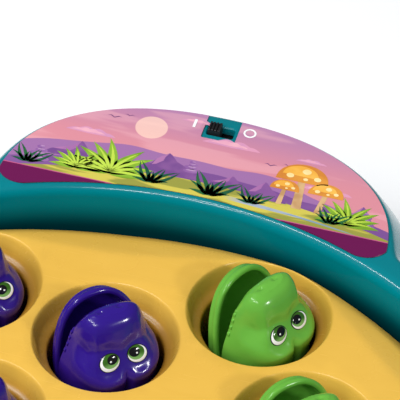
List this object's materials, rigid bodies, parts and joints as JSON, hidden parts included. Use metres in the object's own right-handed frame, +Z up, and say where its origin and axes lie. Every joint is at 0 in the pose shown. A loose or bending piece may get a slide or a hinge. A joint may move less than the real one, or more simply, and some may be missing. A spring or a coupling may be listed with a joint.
{
  "type": "fishing game",
  "caption": "Battery fishing game: a disc turns in a teal tray and carries purple and green dinosaur heads with hinged jaws; printed panel and slide switch at one side.",
  "frame": {"origin": "on the turntable's axis, in the plane that the game stands on", "axes": "+Z up, +Y from the turntable's axis towards the panel and its switch, +X to the right of someone who looks along +Y"},
  "size_m": [0.2412, 0.2653, 0.049],
  "materials": {
    "teal_plastic": "semi-gloss",
    "yellow_plastic": "satin",
    "grey_plastic": "matte",
    "white_plastic": "matte",
    "steel": "satin",
    "battery_wrap": "gloss",
    "red_lead": "satin",
    "printed_panel": "printed, gloss",
    "black_plastic": "satin",
    "purple_plastic": "gloss",
    "green_plastic": "gloss"
  },
  "bodies": {
    "base": {"base_tray": "teal_plastic", "upper_housing": "teal_plastic", "cam_tracks": "grey_plastic", "panel_label": "printed_panel", "switch_case": "steel", "battery_cell_1": "battery_wrap", "battery_cell_2": "battery_wrap", "battery_contact": "steel", "battery_lead": "red_lead", "gear_case": "white_plastic", "motor": "steel", "spindle_cap": "teal_plastic"},
    "disc": {"turntable": "yellow_plastic", "ring_gear": "yellow_plastic"},
    "pinion": {"drive_pinion": "white_plastic"},
    "slider": {"switch_slider": "black_plastic"},
    "door": {"battery_door": "teal_plastic", "door_screw": "steel"},
    "dino_01": {"dino_01_head": "purple_plastic"},
    "jaw_01": {"dino_01_jaw": "purple_plastic"},
    "dino_02": {"dino_02_head": "green_plastic"},
    "jaw_02": {"dino_02_jaw": "green_plastic"},
    "dino_03": {"dino_03_head": "purple_plastic"},
    "jaw_03": {"dino_03_jaw": "purple_plastic"},
    "dino_04": {"dino_04_head": "green_plastic"},
    "jaw_04": {"dino_04_jaw": "green_plastic"},
    "dino_05": {"dino_05_head": "purple_plastic"},
    "jaw_05": {"dino_05_jaw": "purple_plastic"},
    "dino_06": {"dino_06_head": "green_plastic"},
    "jaw_06": {"dino_06_jaw": "green_plastic"},
    "dino_07": {"dino_07_head": "purple_plastic"},
    "jaw_07": {"dino_07_jaw": "purple_plastic"},
    "dino_08": {"dino_08_head": "green_plastic"},
    "jaw_08": {"dino_08_jaw": "green_plastic"},
    "dino_09": {"dino_09_head": "purple_plastic"},
    "jaw_09": {"dino_09_jaw": "purple_plastic"},
    "dino_10": {"dino_10_head": "purple_plastic"},
    "jaw_10": {"dino_10_jaw": "purple_plastic"},
    "dino_11": {"dino_11_head": "green_plastic"},
    "jaw_11": {"dino_11_jaw": "green_plastic"},
    "dino_12": {"dino_12_head": "purple_plastic"},
    "jaw_12": {"dino_12_jaw": "purple_plastic"},
    "dino_13": {"dino_13_head": "green_plastic"},
    "jaw_13": {"dino_13_jaw": "green_plastic"},
    "dino_14": {"dino_14_head": "purple_plastic"},
    "jaw_14": {"dino_14_jaw": "purple_plastic"},
    "dino_15": {"dino_15_head": "green_plastic"},
    "jaw_15": {"dino_15_jaw": "green_plastic"},
    "dino_16": {"dino_16_head": "purple_plastic"},
    "jaw_16": {"dino_16_jaw": "purple_plastic"},
    "dino_17": {"dino_17_head": "green_plastic"},
    "jaw_17": {"dino_17_jaw": "green_plastic"},
    "dino_18": {"dino_18_head": "purple_plastic"},
    "jaw_18": {"dino_18_jaw": "purple_plastic"},
    "dino_19": {"dino_19_head": "purple_plastic"},
    "jaw_19": {"dino_19_jaw": "purple_plastic"},
    "dino_20": {"dino_20_head": "green_plastic"},
    "jaw_20": {"dino_20_jaw": "green_plastic"},
    "dino_21": {"dino_21_head": "purple_plastic"},
    "jaw_21": {"dino_21_jaw": "purple_plastic"}
  },
  "joints": [
    {"name": "disc_spin", "type": "hinge", "parent": "base", "child": "disc", "pos_m": [0, 0, 0.012], "axis": [0, 0, 1], "continuous": true},
    {"name": "pinion_spin", "type": "hinge", "parent": "base", "child": "pinion", "pos_m": [0.03004, 0.11614, 0.013], "axis": [0, 0, 1], "continuous": true},
    {"name": "switch_slide", "type": "slide", "parent": "base", "child": "slider", "axis": [1, 0, 0], "range_m": [0, 0.0031]},
    {"name": "door_lift", "type": "slide", "parent": "base", "child": "door", "axis": [0, 0, -1], "range_m": [0, 0.01]},
    {"name": "lift_01", "type": "slide", "parent": "disc", "child": "dino_01", "axis": [0, 0, 1], "range_m": [0, 0.055]},
    {"name": "jaw_01_hinge", "type": "hinge", "parent": "dino_01", "child": "jaw_01", "pos_m": [-0.04744, 0.07339, 0.0233], "axis": [0.5736, 0.8192, 0], "range_deg": [0, 13]},
    {"name": "lift_02", "type": "slide", "parent": "disc", "child": "dino_02", "axis": [0, 0, 1], "range_m": [0, 0.055]},
    {"name": "jaw_02_hinge", "type": "hinge", "parent": "dino_02", "child": "jaw_02", "pos_m": [0.02166, 0.08358, 0.0233], "axis": [0.4695, 0.8829, 0], "range_deg": [0, 13]},
    {"name": "lift_03", "type": "slide", "parent": "disc", "child": "dino_03", "axis": [0, 0, 1], "range_m": [0, 0.055]},
    {"name": "jaw_03_hinge", "type": "hinge", "parent": "dino_03", "child": "jaw_03", "pos_m": [0.07583, 0.03936, 0.0233], "axis": [0.6561, 0.7547, 0], "range_deg": [0, 13]},
    {"name": "lift_04", "type": "slide", "parent": "disc", "child": "dino_04", "axis": [0, 0, 1], "range_m": [0, 0.055]},
    {"name": "jaw_04_hinge", "type": "hinge", "parent": "dino_04", "child": "jaw_04", "pos_m": [0.08465, 0.00455, 0.0233], "axis": [0.5299, 0.848, 0], "range_deg": [0, 13]},
    {"name": "lift_05", "type": "slide", "parent": "disc", "child": "dino_05", "axis": [0, 0, 1], "range_m": [0, 0.055]},
    {"name": "jaw_05_hinge", "type": "hinge", "parent": "dino_05", "child": "jaw_05", "pos_m": [0.05891, -0.06073, 0.0233], "axis": [0.4067, 0.9135, 0], "range_deg": [0, 13]},
    {"name": "lift_06", "type": "slide", "parent": "disc", "child": "dino_06", "axis": [0, 0, 1], "range_m": [0, 0.055]},
    {"name": "jaw_06_hinge", "type": "hinge", "parent": "dino_06", "child": "jaw_06", "pos_m": [-0.00643, -0.08492, 0.0233], "axis": [0.6157, 0.788, 0], "range_deg": [0, 13]},
    {"name": "lift_07", "type": "slide", "parent": "disc", "child": "dino_07", "axis": [0, 0, 1], "range_m": [0, 0.055]},
    {"name": "jaw_07_hinge", "type": "hinge", "parent": "dino_07", "child": "jaw_07", "pos_m": [-0.04101, -0.07553, 0.0233], "axis": [0.5, 0.866, 0], "range_deg": [0, 13]},
    {"name": "lift_08", "type": "slide", "parent": "disc", "child": "dino_08", "axis": [0, 0, 1], "range_m": [0, 0.055]},
    {"name": "jaw_08_hinge", "type": "hinge", "parent": "dino_08", "child": "jaw_08", "pos_m": [-0.08436, -0.02051, 0.0233], "axis": [0.682, 0.7314, 0], "range_deg": [0, 13]},
    {"name": "lift_09", "type": "slide", "parent": "disc", "child": "dino_09", "axis": [0, 0, 1], "range_m": [0, 0.055]},
    {"name": "jaw_09_hinge", "type": "hinge", "parent": "dino_09", "child": "jaw_09", "pos_m": [-0.07296, 0.04831, 0.0233], "axis": [0.5592, 0.829, 0], "range_deg": [0, 13]},
    {"name": "lift_10", "type": "slide", "parent": "disc", "child": "dino_10", "axis": [0, 0, 1], "range_m": [0, 0.055]},
    {"name": "jaw_10_hinge", "type": "hinge", "parent": "dino_10", "child": "jaw_10", "pos_m": [-0.01075, 0.06548, 0.0233], "axis": [0.6691, 0.7431, 0], "range_deg": [0, 13]},
    {"name": "lift_11", "type": "slide", "parent": "disc", "child": "dino_11", "axis": [0, 0, 1], "range_m": [0, 0.055]},
    {"name": "jaw_11_hinge", "type": "hinge", "parent": "dino_11", "child": "jaw_11", "pos_m": [0.0404, 0.05136, 0.0233], "axis": [0.7071, 0.7071, 0], "range_deg": [0, 13]},
    {"name": "lift_12", "type": "slide", "parent": "disc", "child": "dino_12", "axis": [0, 0, 1], "range_m": [0, 0.055]},
    {"name": "jaw_12_hinge", "type": "hinge", "parent": "dino_12", "child": "jaw_12", "pos_m": [0.05932, -0.02321, 0.0233], "axis": [0.454, 0.891, 0], "range_deg": [0, 13]},
    {"name": "lift_13", "type": "slide", "parent": "disc", "child": "dino_13", "axis": [0, 0, 1], "range_m": [0, 0.055]},
    {"name": "jaw_13_hinge", "type": "hinge", "parent": "dino_13", "child": "jaw_13", "pos_m": [0.02162, -0.06018, 0.0233], "axis": [0.5878, 0.809, 0], "range_deg": [0, 13]},
    {"name": "lift_14", "type": "slide", "parent": "disc", "child": "dino_14", "axis": [0, 0, 1], "range_m": [0, 0.055]},
    {"name": "jaw_14_hinge", "type": "hinge", "parent": "dino_14", "child": "jaw_14", "pos_m": [-0.0523, -0.03981, 0.0233], "axis": [0.515, 0.8572, 0], "range_deg": [0, 13]},
    {"name": "lift_15", "type": "slide", "parent": "disc", "child": "dino_15", "axis": [0, 0, 1], "range_m": [0, 0.055]},
    {"name": "jaw_15_hinge", "type": "hinge", "parent": "dino_15", "child": "jaw_15", "pos_m": [-0.06544, 0.01172, 0.0233], "axis": [0.6428, 0.766, 0], "range_deg": [0, 13]},
    {"name": "lift_16", "type": "slide", "parent": "disc", "child": "dino_16", "axis": [0, 0, 1], "range_m": [0, 0.055]},
    {"name": "jaw_16_hinge", "type": "hinge", "parent": "dino_16", "child": "jaw_16", "pos_m": [0.04282, 0.01214, 0.0233], "axis": [0.4848, 0.8746, 0], "range_deg": [0, 13]},
    {"name": "lift_17", "type": "slide", "parent": "disc", "child": "dino_17", "axis": [0, 0, 1], "range_m": [0, 0.055]},
    {"name": "jaw_17_hinge", "type": "hinge", "parent": "dino_17", "child": "jaw_17", "pos_m": [-0.01335, -0.04298, 0.0233], "axis": [0.6293, 0.7771, 0], "range_deg": [0, 13]},
    {"name": "lift_18", "type": "slide", "parent": "disc", "child": "dino_18", "axis": [0, 0, 1], "range_m": [0, 0.055]},
    {"name": "jaw_18_hinge", "type": "hinge", "parent": "dino_18", "child": "jaw_18", "pos_m": [-0.03318, 0.03337, 0.0233], "axis": [0.5736, 0.8192, 0], "range_deg": [0, 13]},
    {"name": "lift_19", "type": "slide", "parent": "disc", "child": "dino_19", "axis": [0, 0, 1], "range_m": [0, 0.055]},
    {"name": "jaw_19_hinge", "type": "hinge", "parent": "dino_19", "child": "jaw_19", "pos_m": [0.00561, 0.02516, 0.0233], "axis": [0.6947, 0.7193, 0], "range_deg": [0, 13]},
    {"name": "lift_20", "type": "slide", "parent": "disc", "child": "dino_20", "axis": [0, 0, 1], "range_m": [0, 0.055]},
    {"name": "jaw_20_hinge", "type": "hinge", "parent": "dino_20", "child": "jaw_20", "pos_m": [0.01628, -0.01703, 0.0233], "axis": [0.5446, 0.8387, 0], "range_deg": [0, 13]},
    {"name": "lift_21", "type": "slide", "parent": "disc", "child": "dino_21", "axis": [0, 0, 1], "range_m": [0, 0.055]},
    {"name": "jaw_21_hinge", "type": "hinge", "parent": "dino_21", "child": "jaw_21", "pos_m": [-0.02558, -0.00561, 0.0233], "axis": [0.4384, 0.8988, 0], "range_deg": [0, 13]}
  ],
  "couplings": [
    {"joint": "pinion_spin", "follows": "disc_spin", "ratio": -7.7143}
  ]
}
